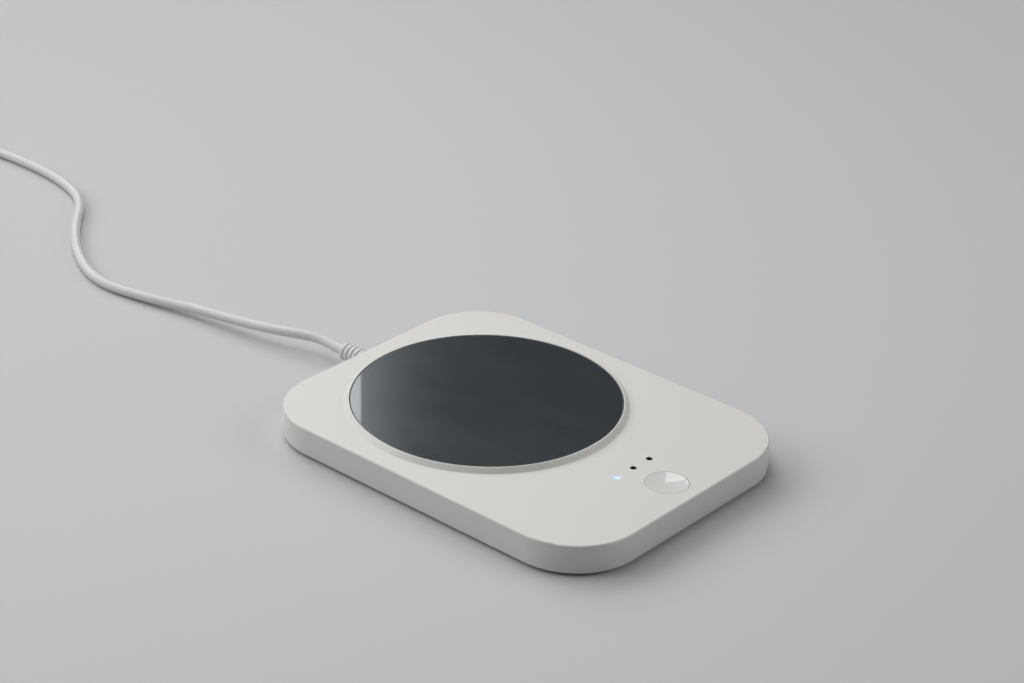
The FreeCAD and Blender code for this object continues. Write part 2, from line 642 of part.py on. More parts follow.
def make_heater_wire_b():
    return wire_tube([
        (INNER_TERMINAL_X, -TERMINAL_Y, TRACK_BOTTOM),
        (INNER_TERMINAL_X, -TERMINAL_Y, WIRE_HEIGHT),
        (FUSE_X - 2 * WIRE_STEP, -TERMINAL_Y, WIRE_HEIGHT),
        (FUSE_X, -TERMINAL_Y - WIRE_STEP, WIRE_HEIGHT),
        (FUSE_X, FUSE_Y + FUSE_SIZE[1] / 2, WIRE_HEIGHT),
    ], WIRE_RADIUS)


def make_fuse_wire():
    fuse_end_y = FUSE_Y - FUSE_SIZE[1] / 2
    bend_y = fuse_end_y - FUSE_LEAD_BEND
    return wire_tube([
        (FUSE_X, fuse_end_y, WIRE_HEIGHT),
        (FUSE_X, bend_y, WIRE_HEIGHT),
        (FUSE_X + FUSE_WIRE_RUN, bend_y - WIRE_RADIUS, WIRE_HEIGHT),
        (PAD_X, FUSE_Y, WIRE_HEIGHT),
    ], WIRE_RADIUS)


def make_supply_wire(side):
    y0 = side * (WIRE_RADIUS + 0.15)
    edge_x = HEATER_X - SPREADER_RADIUS
    return wire_tube([
        (SHEATH_END_X, y0, CORD_EXIT_HEIGHT),
        (SHEATH_END_X + SUPPLY_ENTRY_STEP * 0.8, y0, CORD_EXIT_HEIGHT),
        (edge_x - SUPPLY_ENTRY_STEP * 0.6, side * SUPPLY_ENTRY_STEP, WIRE_HEIGHT),
        (edge_x + SUPPLY_FIRST_RUN, side * SUPPLY_FIRST_BOW, WIRE_HEIGHT),
        (HEATER_X + SUPPLY_WIDEST_X, side * SUPPLY_WIDEST_BOW, WIRE_HEIGHT),
        (BOARD_X0 - SUPPLY_LEAD_IN, side * (SUPPLY_PAD_Y + WIRE_RADIUS), WIRE_HEIGHT),
        (PAD_X, side * SUPPLY_PAD_Y, WIRE_HEIGHT),
    ], WIRE_RADIUS)


def make_control_board():
    board = box(BOARD_X0, BOARD_X1, -BOARD_WIDTH / 2, BOARD_WIDTH / 2, BOARD_BOTTOM, BOARD_TOP)
    for x, y in board_screw_places():
        hole = SMALL_SCREW_SHANK + SHANK_CLEARANCE
        board = board.cut(cylinder(x, y, BOARD_BOTTOM - 1, BOARD_TOP + 1, hole))
    return board


def make_board_screws():
    top = BOARD_TOP + SMALL_SCREW_GRIP
    return [pan_screw(x, y, BOARD_BOTTOM, top, SMALL_SCREW_SHANK, SMALL_SCREW_HEAD, SMALL_SCREW_HEAD_HEIGHT)
            for x, y in board_screw_places()]


def block_on_board(x, y, size):
    length, width, height = size
    return box(x - length / 2, x + length / 2, y - width / 2, y + width / 2, BOARD_TOP, BOARD_TOP + height)


def make_tact_switch():
    body = block_on_board(BUTTON_X, 0, (SWITCH_SIZE, SWITCH_SIZE, SWITCH_HEIGHT))
    bore_bottom = SWITCH_TOP - PLUNGER_DEPTH - BUTTON_TRAVEL - 0.1
    return body.cut(cylinder(BUTTON_X, 0, bore_bottom, SWITCH_TOP + 1, PLUNGER_RADIUS + PLUNGER_CLEARANCE))


def make_switch_plunger():
    return cylinder(BUTTON_X, 0, SWITCH_TOP - PLUNGER_DEPTH, PLUNGER_TOP, PLUNGER_RADIUS)


def make_button_cap():
    cap = cylinder(BUTTON_X, 0, PLUNGER_TOP, CASING_TOP, BUTTON_RADIUS)
    rim = [edge for edge in cap.Edges if edge.BoundBox.ZMin > CASING_TOP - 0.01]
    cap = cap.makeChamfer(BUTTON_RIM_CHAMFER, rim)
    cap = cap.fuse(cylinder(BUTTON_X, 0, PLUNGER_TOP, FLANGE_TOP, BUTTON_RADIUS + BUTTON_FLANGE))
    dish_radius = BUTTON_RADIUS - BUTTON_RIM
    sphere_radius = (dish_radius ** 2 + BUTTON_DISH_DEPTH ** 2) / (2 * BUTTON_DISH_DEPTH)
    centre = vector(BUTTON_X, 0, CASING_TOP - BUTTON_DISH_DEPTH + sphere_radius)
    return cap.cut(Part.makeSphere(sphere_radius, centre)).removeSplitter()


def make_status_led(y):
    return block_on_board(LIGHT_X, y, LED_SIZE)


def make_status_lens(y):
    pipe = cylinder(LIGHT_X, y, LED_TOP + LED_GAP, CASING_TOP - LIGHT_BELOW_TOP, LIGHT_RADIUS)
    flange_bottom = ROOF_UNDERSIDE - LIGHT_FLANGE_THICKNESS
    return pipe.fuse(cylinder(LIGHT_X, y, flange_bottom, ROOF_UNDERSIDE, LIGHT_RADIUS + LIGHT_FLANGE))


def make_light_shield():
    half_y = LIGHT_PITCH + SHIELD_END_MARGIN
    shield = box(LIGHT_X - SHIELD_MARGIN, LIGHT_X + SHIELD_MARGIN, -half_y, half_y, BOARD_TOP, ROOF_UNDERSIDE)
    for y in LIGHT_YS:
        shield = shield.cut(cylinder(LIGHT_X, y, BOARD_TOP - 1, ROOF_UNDERSIDE + 1, LIGHT_RADIUS + LIGHT_CLEARANCE))
        seat_bottom = ROOF_UNDERSIDE - LIGHT_FLANGE_THICKNESS
        seat_radius = LIGHT_RADIUS + LIGHT_FLANGE + LIGHT_CLEARANCE
        shield = shield.cut(cylinder(LIGHT_X, y, seat_bottom, ROOF_UNDERSIDE + 1, seat_radius))
        half_x = LED_SIZE[0] / 2 + LED_POCKET_CLEARANCE
        half_w = LED_SIZE[1] / 2 + LED_POCKET_CLEARANCE
        pocket = box(LIGHT_X - half_x, LIGHT_X + half_x, y - half_w, y + half_w, BOARD_TOP - 1, LED_TOP + LED_GAP)
        shield = shield.cut(pocket)
    return shield


def make_strain_relief():
    """Ribbed sleeve outside the wall, a neck through it and a square flange inside."""
    def at(x, radius):
        return (x, 0, CORD_EXIT_HEIGHT + radius)

    profile = [at(FLANGE_INNER_X, 0), at(FLANGE_INNER_X, NECK_RADIUS), at(END_X, NECK_RADIUS)]
    profile += [at(END_X, RELIEF_COLLAR_RADIUS), at(RELIEF_RING_START, RELIEF_COLLAR_RADIUS)]
    for number in range(RELIEF_RINGS):
        groove = RELIEF_RING_PITCH - RELIEF_RING_WIDTH
        start = RELIEF_RING_START - number * RELIEF_RING_PITCH
        share = number / (RELIEF_RINGS - 1)
        radius = RELIEF_ROOT_RADIUS + (RELIEF_END_RADIUS - RELIEF_ROOT_RADIUS) * share
        profile += [at(start, RELIEF_CORE_RADIUS), at(start - groove, RELIEF_CORE_RADIUS)]
        profile += [at(start - groove - 0.15, radius), at(start - RELIEF_RING_PITCH + 0.15, radius)]
    last = RELIEF_RING_START - RELIEF_RINGS * RELIEF_RING_PITCH
    profile += [at(last, RELIEF_CORE_RADIUS + 0.2), at(RELIEF_END_X, RELIEF_CORE_RADIUS - 0.2), at(RELIEF_END_X, 0)]
    sleeve = revolve(polygon_edges(profile), vector(0, 0, CORD_EXIT_HEIGHT), vector(1, 0, 0))
    flange = box(WALL_INSIDE_X, FLANGE_INNER_X, -FLANGE_WIDTH / 2, FLANGE_WIDTH / 2,
                 FLOOR_TOP + FLANGE_ROOF_GAP, ROOF_UNDERSIDE - FLANGE_ROOF_GAP)
    return sleeve.fuse(flange).removeSplitter()


def make_inner_sheath():
    return rod_x(FLANGE_INNER_X, SHEATH_END_X, 0, CORD_EXIT_HEIGHT, CORD_RADIUS)


def make_cord_tie():
    x0 = FLANGE_INNER_X + 0.2
    x1 = x0 + TIE_WIDTH
    inner = CORD_RADIUS + TIE_CLEARANCE
    outer = inner + TIE_THICKNESS
    band = rod_x(x0, x1, 0, CORD_EXIT_HEIGHT, outer)
    head = box(x0, x1, inner, outer + TIE_HEAD, CORD_EXIT_HEIGHT - 1.2, CORD_EXIT_HEIGHT + 1.2)
    return band.fuse(head).cut(rod_x(x0 - 1, x1 + 1, 0, CORD_EXIT_HEIGHT, inner)).removeSplitter()


def arc_from_tangent(start, control, end):
    """A round arc that leaves start towards the control point and meets end as squarely."""
    chord_middle = (start + end) * 0.5
    half_chord = (end - start).Length / 2
    half_angle = math.acos(half_chord / (control - start).Length)
    share = math.tan(half_angle / 2) / math.tan(half_angle)
    middle = chord_middle + (control - chord_middle) * share
    return Part.Arc(start, middle, end).toShape()


def half_turn_arcs(start, end, heading):
    """Two quarter arcs from start round to end, where the heading is opposite."""
    reach = (end - start).Length / 2
    first_control = start + heading * reach
    last_control = end + heading * reach
    joint = (first_control + last_control) * 0.5
    return [arc_from_tangent(start, first_control, joint), arc_from_tangent(joint, last_control, end)]


def coil_crossings():
    """Where the turns cross the coil's Y axis: in on the lower layer, up, and out on the upper one."""
    steps = range(COIL_HALF_TURNS_PER_LAYER + 1)
    lower = [(COIL_OUTER_RADIUS - step * COIL_PITCH / 2, CORD_HEIGHT) for step in steps]
    upper = [(radius, COIL_TOP_HEIGHT) for radius, _ in reversed(lower)]
    crossings = []
    for number, (radius, z) in enumerate(lower + upper):
        side = 1 if number % 2 == 0 else -1
        crossings.append(vector(COIL_X, COIL_Y + side * radius, z))
    return crossings


def coil_path():
    crossings = coil_crossings()
    lead = vector(COIL_END_LENGTH, 0, 0)
    edges = [Part.LineSegment(crossings[0] + lead, crossings[0]).toShape()]
    for number, (start, end) in enumerate(zip(crossings, crossings[1:])):
        heading = vector(-1, 0, 0) if number % 2 == 0 else vector(1, 0, 0)
        edges += half_turn_arcs(start, end, heading)
    edges.append(Part.LineSegment(crossings[-1], crossings[-1] + lead).toShape())
    return Part.Wire(edges)


def least_gap(path):
    """The smallest clear space between stretches of the tube that aren't neighbours along it."""
    step = 1.0
    points = [tuple(point) for point in path.discretize(Distance=step)]
    apart = int(4 * CORD_RADIUS * 2 / step)
    nearest = min(math.dist(point, other)
                  for number, point in enumerate(points)
                  for other in points[number + apart:])
    return nearest - 2 * CORD_RADIUS


def report_tube(name, path, solid, radii):
    expected = math.pi * CORD_RADIUS ** 2 * path.Length
    print(name, "length", round(path.Length, 1), "volume share", round(solid.Volume / expected, 4),
          "valid", solid.isValid())
    if radii:
        print(name, "arc radii", [round(radius, 1) for radius in radii])


def make_power_cord():
    path, radii = routed_path(CORD_ROUTE)
    solid = tube_along(path, CORD_RADIUS)
    report_tube("power_cord", path, solid, radii)
    return solid


def make_power_cord_coil():
    path = coil_path()
    solid = tube_along(path, CORD_RADIUS)
    report_tube("power_cord_coil", path, solid, [])
    print("coil least gap", round(least_gap(path), 3))
    return solid


def make_power_cord_tail():
    path, radii = routed_path(TAIL_ROUTE)
    solid = tube_along(path, CORD_RADIUS)
    report_tube("power_cord_tail", path, solid, radii)
    return solid


BODY_X = PLUG_X + PLUG_BOOT_LENGTH
SHELL_X = BODY_X + PLUG_BODY_LENGTH


def plug_block(x0, x1, width, thickness, z_middle):
    return box(x0, x1, PLUG_Y - width / 2, PLUG_Y + width / 2, z_middle - thickness / 2, z_middle + thickness / 2)


def make_usb_plug_body():
    body = plug_block(BODY_X, SHELL_X, PLUG_BODY_WIDTH, PLUG_BODY_THICKNESS, PLUG_AXIS_HEIGHT)
    long_edges = [edge for edge in body.Edges if edge.BoundBox.XLength > PLUG_BODY_LENGTH - 0.01]
    body = body.makeFillet(PLUG_BODY_ROUND, long_edges)
    boot = Part.makeCone(PLUG_BOOT_TIP_RADIUS, PLUG_BOOT_RADIUS, PLUG_BOOT_LENGTH,
                         vector(PLUG_X, PLUG_Y, PLUG_AXIS_HEIGHT), vector(1, 0, 0))
    socket = plug_block(SHELL_X - SHELL_SEAT, SHELL_X + 1, SHELL_WIDTH, SHELL_THICKNESS, PLUG_AXIS_HEIGHT)
    return body.fuse(boot).cut(socket).removeSplitter()


def make_usb_plug_shell():
    x0 = SHELL_X - SHELL_SEAT
    x1 = SHELL_X + SHELL_LENGTH
    shell = plug_block(x0, x1, SHELL_WIDTH, SHELL_THICKNESS, PLUG_AXIS_HEIGHT)
    hollow = plug_block(x0 - 1, x1 + 1, SHELL_WIDTH - 2 * SHELL_SHEET, SHELL_THICKNESS - 2 * SHELL_SHEET,
                        PLUG_AXIS_HEIGHT)
    shell = shell.cut(hollow)
    window_x = SHELL_X + SHELL_LENGTH * 0.45
    for side in (1, -1):
        y = PLUG_Y + side * SHELL_WINDOW_SPACING / 2
        half = SHELL_WINDOW / 2
        window = box(window_x - half, window_x + half, y - half, y + half,
                     PLUG_AXIS_HEIGHT - SHELL_THICKNESS, PLUG_AXIS_HEIGHT + SHELL_THICKNESS)
        shell = shell.cut(window)
    return shell


TONGUE_TOP = PLUG_AXIS_HEIGHT + SHELL_THICKNESS / 2 - SHELL_SHEET
TONGUE_BOTTOM = TONGUE_TOP - TONGUE_THICKNESS


def make_usb_plug_tongue():
    x1 = SHELL_X + SHELL_LENGTH - TONGUE_SETBACK
    width = SHELL_WIDTH - 2 * SHELL_SHEET
    return plug_block(SHELL_X - SHELL_SEAT, x1, width, TONGUE_THICKNESS, (TONGUE_TOP + TONGUE_BOTTOM) / 2)


def make_usb_plug_contacts():
    contacts = []
    x1 = SHELL_X + SHELL_LENGTH - 2 * TONGUE_SETBACK
    for number in range(CONTACT_COUNT):
        y = PLUG_Y + (number - (CONTACT_COUNT - 1) / 2) * CONTACT_PITCH
        contacts.append(box(x1 - CONTACT_LENGTH, x1, y - CONTACT_WIDTH / 2, y + CONTACT_WIDTH / 2,
                            TONGUE_BOTTOM - CONTACT_THICKNESS, TONGUE_BOTTOM))
    return contacts


def export(name, shapes):
    solids = shapes if isinstance(shapes, list) else [shapes]
    shape = solids[0] if len(solids) == 1 else Part.makeCompound(solids)
    shape.exportStep("parts/" + name + ".step")
    if not shape.isValid() or len(shape.Solids) != len(solids):
        print("CHECK", name, "valid", shape.isValid(), "solids", len(shape.Solids))


def main():
    os.makedirs("parts", exist_ok=True)
    export("top_cover", make_top_cover())
    export("bottom_cover", make_bottom_cover())
    export("case_screws", make_case_screws())
    export("rubber_feet", make_rubber_feet())
    export("glass_plate", make_glass_plate())
    export("glass_seal", make_glass_seal())
    export("heat_spreader", make_heat_spreader())
    export("mica_sheet_upper", make_mica_sheet(UPPER_MICA_BOTTOM, False))
    export("heater_track", make_heater_track())
    export("mica_sheet_lower", make_mica_sheet(LOWER_MICA_BOTTOM, True))
    export("insulation_pad", make_insulation_pad())
    export("heater_backplate", make_heater_backplate())
    export("heater_screws", make_heater_screws())
    export("temperature_sensor", make_temperature_sensor())
    export("sensor_wires", make_sensor_wires())
    export("thermal_fuse", make_thermal_fuse())
    export("heater_wire_a", make_heater_wire_a())
    export("heater_wire_b", make_heater_wire_b())
    export("fuse_wire", make_fuse_wire())
    export("supply_wire_red", make_supply_wire(1))
    export("supply_wire_black", make_supply_wire(-1))
    export("control_board", make_control_board())
    export("board_screws", make_board_screws())
    export("control_chip", block_on_board(CHIP_X, CHIP_Y, CHIP_SIZE))
    export("power_transistor", block_on_board(TRANSISTOR_X, TRANSISTOR_Y, TRANSISTOR_SIZE))
    export("tact_switch", make_tact_switch())
    export("switch_plunger", make_switch_plunger())
    export("button_cap", make_button_cap())
    for number, y in enumerate(LIGHT_YS, start=1):
        export("status_led_%d" % number, make_status_led(y))
        export("status_lens_%d" % number, make_status_lens(y))
    export("light_shield", make_light_shield())
    export("strain_relief", make_strain_relief())
    export("inner_sheath", make_inner_sheath())
    export("cord_tie", make_cord_tie())
    export("power_cord", make_power_cord())
    export("power_cord_coil", make_power_cord_coil())
    export("power_cord_tail", make_power_cord_tail())
    export("usb_plug_body", make_usb_plug_body())
    export("usb_plug_shell", make_usb_plug_shell())
    export("usb_plug_tongue", make_usb_plug_tongue())
    export("usb_plug_contacts", make_usb_plug_contacts())


main()
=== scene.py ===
import json
import math

import bmesh
import bpy
from mathutils import Matrix, Vector


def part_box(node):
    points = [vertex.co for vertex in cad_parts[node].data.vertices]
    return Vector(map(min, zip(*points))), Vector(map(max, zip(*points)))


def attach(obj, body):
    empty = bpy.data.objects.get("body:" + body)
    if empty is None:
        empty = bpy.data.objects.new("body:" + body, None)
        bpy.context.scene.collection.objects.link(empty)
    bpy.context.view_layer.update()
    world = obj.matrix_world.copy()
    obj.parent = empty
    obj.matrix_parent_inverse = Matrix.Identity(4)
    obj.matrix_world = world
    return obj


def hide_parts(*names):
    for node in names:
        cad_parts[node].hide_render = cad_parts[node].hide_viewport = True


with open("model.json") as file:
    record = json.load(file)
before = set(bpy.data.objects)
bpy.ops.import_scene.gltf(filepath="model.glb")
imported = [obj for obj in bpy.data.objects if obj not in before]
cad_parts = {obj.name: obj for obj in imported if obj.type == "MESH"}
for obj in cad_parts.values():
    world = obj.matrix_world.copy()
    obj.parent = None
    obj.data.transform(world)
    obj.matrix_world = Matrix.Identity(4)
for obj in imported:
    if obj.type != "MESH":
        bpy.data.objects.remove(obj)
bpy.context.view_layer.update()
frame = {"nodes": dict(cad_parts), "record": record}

# All lengths here are in metres, in the part's own frame: +Z up, +X towards the button.
MM = 0.001


def middle_of(node):
    """The middle of a node's box."""
    low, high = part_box(node)
    return (low + high) / 2


# Places that come from the part's own solids
COVER_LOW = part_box("top_cover")[0]
GLASS_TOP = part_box("glass_plate")[1].z
GLASS_MIDDLE = middle_of("glass_plate")
CAP_LOW, CAP_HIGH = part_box("button_cap")
CAP_MIDDLE = middle_of("button_cap")
RELIEF_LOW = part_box("strain_relief")[0]
LIT_MIDDLE = middle_of("status_lens_1")

# Camera: the photograph's angle, in degrees, and its lens, in mm
CAMERA_TARGET = (-0.05264, 0.05390, 0.0)
CAMERA_AZIMUTH = 40.70
CAMERA_ELEVATION = 27.35
CAMERA_ROLL = 1.60
CAMERA_DISTANCE = 0.90038
CAMERA_LENS = 89.71
CAMERA_SENSOR_WIDTH = 36.0


def make_camera():
    azimuth = math.radians(CAMERA_AZIMUTH)
    elevation = math.radians(CAMERA_ELEVATION)
    roll = math.radians(CAMERA_ROLL)
    back = Vector((math.sin(azimuth) * math.cos(elevation), -math.cos(azimuth) * math.cos(elevation),
                   math.sin(elevation)))
    level_right = Vector((0, 0, 1)).cross(back).normalized()
    level_up = back.cross(level_right)
    right = level_right * math.cos(roll) + level_up * math.sin(roll)
    up = level_up * math.cos(roll) - level_right * math.sin(roll)
    data = bpy.data.cameras.new("photo_camera")
    data.lens = CAMERA_LENS
    data.sensor_width = CAMERA_SENSOR_WIDTH
    camera = bpy.data.objects.new("photo_camera", data)
    bpy.context.scene.collection.objects.link(camera)
    turn = Matrix((right, up, back)).transposed().to_4x4()
    camera.matrix_world = Matrix.Translation(Vector(CAMERA_TARGET) + back * CAMERA_DISTANCE) @ turn
    bpy.context.scene.camera = camera


# Materials. Colours are written as the 0 to 255 values of a picture.
def srgb(red, green, blue):
    """A colour's 0 to 255 values as the shader's linear numbers."""
    def linear(value):
        share = value / 255
        return share / 12.92 if share <= 0.04045 else ((share + 0.055) / 1.055) ** 2.4
    return (linear(red), linear(green), linear(blue))


class Shader:
    """A small builder for one material's nodes."""

    def __init__(self, name):
        self.material = bpy.data.materials.new(name)
        self.material.use_nodes = True
        self.nodes = self.material.node_tree.nodes
        self.links = self.material.node_tree.links
        self.surface = self.nodes["Principled BSDF"]

    def set(self, **values):
        for name, value in values.items():
            self.surface.inputs[name.replace("_", " ")].default_value = value

    def link(self, output, target):
        self.links.new(output, target)

    def place(self):
        return self.nodes.new("ShaderNodeTexCoord").outputs["Object"]

    def noise(self, scale, detail=2.0, roughness=0.5, stretch=None):
        node = self.nodes.new("ShaderNodeTexNoise")
        node.inputs["Scale"].default_value = scale
        node.inputs["Detail"].default_value = detail
        node.inputs["Roughness"].default_value = roughness
        where = self.place()
        if stretch is not None:
            mapping = self.nodes.new("ShaderNodeMapping")
            mapping.inputs["Scale"].default_value = stretch
            self.link(where, mapping.inputs["Vector"])
            where = mapping.outputs["Vector"]
        self.link(where, node.inputs["Vector"])
        return node.outputs["Fac"]

    def spots(self, scale):
        node = self.nodes.new("ShaderNodeTexVoronoi")
        node.inputs["Scale"].default_value = scale
        self.link(self.place(), node.inputs["Vector"])
        return node.outputs["Distance"]

    def spread(self, factor, low, high, start=0.3, end=0.7):
        """Runs from low to high as the factor goes from start to end."""
        node = self.nodes.new("ShaderNodeMapRange")
        node.inputs["From Min"].default_value = start
        node.inputs["From Max"].default_value = end
        node.inputs["To Min"].default_value = low
        node.inputs["To Max"].default_value = high
        self.link(factor, node.inputs["Value"])
        return node.outputs["Result"]

    def blend(self, factor, first, second):
        node = self.nodes.new("ShaderNodeMix")
        node.data_type = "RGBA"
        node.inputs["A"].default_value = (*srgb(*first), 1.0)
        node.inputs["B"].default_value = (*srgb(*second), 1.0)
        self.link(factor, node.inputs["Factor"])
        return node.outputs["Result"]

    def colour(self, factor, first, second):
        self.link(self.blend(factor, first, second), self.surface.inputs["Base Color"])

    def rough(self, factor, low, high):
        self.link(self.spread(factor, low, high), self.surface.inputs["Roughness"])

    def distance_from(self, centre):
        """How far a point of the surface lies from a vertical line through centre."""
        where = self.nodes.new("ShaderNodeSeparateXYZ")
        self.link(self.place(), where.inputs["Vector"])
        flat = self.nodes.new("ShaderNodeCombineXYZ")
        self.link(where.outputs["X"], flat.inputs["X"])
        self.link(where.outputs["Y"], flat.inputs["Y"])
        length = self.nodes.new("ShaderNodeVectorMath")
        length.operation = "DISTANCE"
        length.inputs[1].default_value = (centre.x, centre.y, 0.0)
        self.link(flat.outputs["Vector"], length.inputs[0])
        return length.outputs["Value"]

    def bump(self, height, strength, distance):
        node = self.nodes.new("ShaderNodeBump")
        node.inputs["Strength"].default_value = strength
        node.inputs["Distance"].default_value = distance
        self.link(height, node.inputs["Height"])
        self.link(node.outputs["Normal"], self.surface.inputs["Normal"])


# By slot: material's name, lighter colour, darker colour, range of roughness, grain's scale and height.
# The casing's row stands apart, because its material also carries a painted glow round the light that is on.
CASING_PLASTIC = ("casing_white", (220, 218, 214), (216, 214, 210), (0.40, 0.50), 2600.0, 0.00001)
PLASTICS = {
    "base": ("base_white", (206, 204, 200), (198, 196, 192), (0.5, 0.62), 2200.0, 0.00002),
    "button": ("button_gloss", (221, 220, 217), (219, 218, 215), (0.05, 0.09), 500.0, 0.000001),
    "sensor": ("sensor_black", (40, 40, 42), (30, 30, 32), (0.4, 0.55), 1800.0, 0.00001),
    "fuse": ("fuse_cream", (226, 222, 204), (212, 207, 188), (0.25, 0.4), 900.0, 0.00001),
    "chip": ("chip_black", (38, 38, 40), (26, 26, 28), (0.5, 0.65), 2400.0, 0.00001),
    "switch": ("switch_black", (34, 34, 35), (24, 24, 25), (0.4, 0.5), 2000.0, 0.00001),
    "led": ("led_package", (240, 240, 230), (228, 226, 206), (0.3, 0.4), 1500.0, 0.00001),
    "shield": ("shield_black", (26, 26, 26), (18, 18, 18), (0.6, 0.75), 1500.0, 0.00002),
    "plug": ("plug_white", (222, 222, 220), (215, 215, 213), (0.4, 0.5), 2000.0, 0.00002),
}
RUBBERS = {
    "silicone": ("seal_silicone", (44, 44, 46), (34, 34, 36), (0.5, 0.65), 1500.0, 0.00002),
    "foot_rubber": ("foot_rubber", (120, 120, 121), (104, 104, 105), (0.7, 0.85), 1600.0, 0.00004),
    "wire_white": ("wire_white", (232, 231, 227), (218, 217, 213), (0.4, 0.5), 1200.0, 0.00001),
    "wire_red": ("wire_red", (186, 36, 30), (160, 26, 22), (0.35, 0.5), 1200.0, 0.00001),
    "wire_black": ("wire_black", (34, 34, 35), (24, 24, 25), (0.35, 0.5), 1200.0, 0.00001),
    "cord": ("cord_sheath", (214, 215, 216), (206, 207, 208), (0.36, 0.48), 1400.0, 0.000012),
}

# By slot: material's name, lighter colour, darker colour, range of roughness, stretch of the rolled lines
METALS = {
    "aluminium": ("spreader_aluminium", (214, 215, 217), (188, 189, 191), (0.3, 0.45), (1, 12, 1)),
    "track": ("heater_alloy", (176, 172, 166), (140, 136, 130), (0.35, 0.5), (1, 8, 1)),
    "steel": ("plated_steel", (196, 198, 200), (160, 162, 165), (0.28, 0.42), (10, 1, 1)),
    "plug_shell": ("plug_nickel", (214, 214, 216), (186, 186, 189), (0.16, 0.28), (1, 14, 1)),
    "contacts": ("gold_contacts", (226, 186, 104), (198, 156, 80), (0.2, 0.3), (12, 1, 1)),
}

# The light that is on: LIT_CORE is the share of its radius that is brightest, and the reach constant below says
# how many radii the painted glow (emission on the casing plastic) reaches
LIT_RADIUS = 1.1 * MM
LIT_CORE = 0.6
LIT_CORE_COLOUR = (228, 244, 255)
LIT_RIM_COLOUR = (172, 214, 252)
LIT_RIM_STRENGTH = 0.85
# Painted glow: the casing plastic itself emits this faint blue light round the lit light pipe, standing in for
# its halo
PAINTED_GLOW_COLOUR = (120, 175, 235)
PAINTED_GLOW_STRENGTH = 0.24
PAINTED_GLOW_REACH = 2.0


def plastic(name, light, dark, roughness, grain_scale, grain_height):
    """Moulded plastic: a faint cloudy tint, a spark-eroded grain and a roughness that varies a little."""
    shader = Shader(name)
    shader.colour(shader.noise(scale=28.0, detail=3.0, roughness=0.6), dark, light)
    shader.rough(shader.noise(scale=90.0, detail=4.0, roughness=0.65), *roughness)
    shader.bump(shader.noise(scale=grain_scale), strength=0.35, distance=grain_height)
    return shader


def rubber(name, light, dark, roughness, grain_scale, grain_height):
    """Rubber or soft cable sheath: a cloudy tint, scuffs, a fine grain and a slight sheen."""
    shader = Shader(name)
    shader.colour(shader.noise(scale=60.0, detail=4.0, roughness=0.6), dark, light)
    shader.rough(shader.noise(scale=240.0, detail=3.0, roughness=0.6), *roughness)
    shader.set(Sheen_Weight=0.08, Sheen_Roughness=0.5)
    shader.bump(shader.noise(scale=grain_scale, detail=3.0, roughness=0.6), strength=0.3, distance=grain_height)
    return shader


def metal(name, light, dark, roughness, stretch):
    """Sheet metal with fine rolled lines along one direction."""
    shader = Shader(name)
    shader.set(Metallic=1.0)
    lines = shader.noise(scale=700.0, detail=3.0, roughness=0.7, stretch=stretch)
    shader.colour(lines, dark, light)
    shader.rough(lines, *roughness)
    shader.bump(lines, strength=0.12, distance=0.00002)
    return shader


def casing_plastic():
    """The casing's matt plastic, with a painted glow: it emits a faint blue light round the light that is on.
    """
    shader = plastic(*CASING_PLASTIC)
    # Painted glow: emission on the plastic, strongest at the lit light pipe's rim and fading out over a few
    # radii
    away = shader.distance_from(LIT_MIDDLE)
    painted_glow = shader.spread(away, PAINTED_GLOW_STRENGTH, 0.0, start=LIT_RADIUS, end=LIT_RADIUS * PAINTED_GLOW_REACH)
    shader.link(painted_glow, shader.surface.inputs["Emission Strength"])
    shader.set(Emission_Color=(*srgb(*PAINTED_GLOW_COLOUR), 1.0))
    return shader


def heated_glass():
    """Polished glass over a dark printed layer: a clear reflection on top of a soft bluish one."""
    shader = Shader("heated_glass")
    shader.colour(shader.noise(scale=18.0), (22, 27, 31), (28, 33, 38))
    shader.rough(shader.noise(scale=35.0, detail=5.0, roughness=0.7, stretch=(1.0, 4.0, 1.0)), 0.15, 0.20)
    shader.set(IOR=1.5, Specular_IOR_Level=0.75, Specular_Tint=(0.74, 0.90, 1.0, 1.0))
    shader.set(Coat_Weight=1.0, Coat_IOR=1.5, Coat_Roughness=0.02)
    shader.bump(shader.noise(scale=55.0, detail=1.0, roughness=0.4), strength=0.02, distance=0.00002)
    return shader


def lit_lens():
    """The light pipe that is on: nearly white in the middle, bluer and a little dimmer at its rim."""
    shader = Shader("lens_lit")
    cloud = shader.noise(scale=1500.0)
    shader.rough(cloud, 0.3, 0.4)
    shader.set(Base_Color=(*srgb(40, 46, 52), 1.0), Specular_IOR_Level=0.2)
    away = shader.distance_from(LIT_MIDDLE)
    edge = shader.spread(away, 0.0, 1.0, start=LIT_RADIUS * LIT_CORE, end=LIT_RADIUS)
    shader.link(shader.blend(edge, LIT_CORE_COLOUR, LIT_RIM_COLOUR), shader.surface.inputs["Emission Color"])
    strength = shader.spread(edge, 1.0, LIT_RIM_STRENGTH, start=0.0, end=1.0)
    shader.link(strength, shader.surface.inputs["Emission Strength"])
    shader.bump(cloud, strength=0.2, distance=0.00001)
    return shader


def dark_lens():
    """A light pipe that is off: it swallows the light, with a dull top."""
    shader = Shader("lens_dark")
    cloud = shader.noise(scale=900.0, detail=3.0, roughness=0.6)
    shader.colour(cloud, (3, 3, 3), (9, 9, 10))
    shader.rough(cloud, 0.5, 0.65)
    shader.set(Specular_IOR_Level=0.06)
    shader.bump(cloud, strength=0.2, distance=0.00001)
    return shader


def circuit_board():
    """Green solder mask with the copper's pattern showing faintly through it."""
    shader = Shader("board_mask")
    tracks = shader.spots(scale=420.0)
    shader.colour(shader.spread(tracks, 0.0, 1.0, start=0.25, end=0.45), (18, 84, 50), (12, 62, 38))
    shader.rough(shader.noise(scale=200.0), 0.25, 0.4)
    shader.bump(tracks, strength=0.2, distance=0.00003)
    return shader


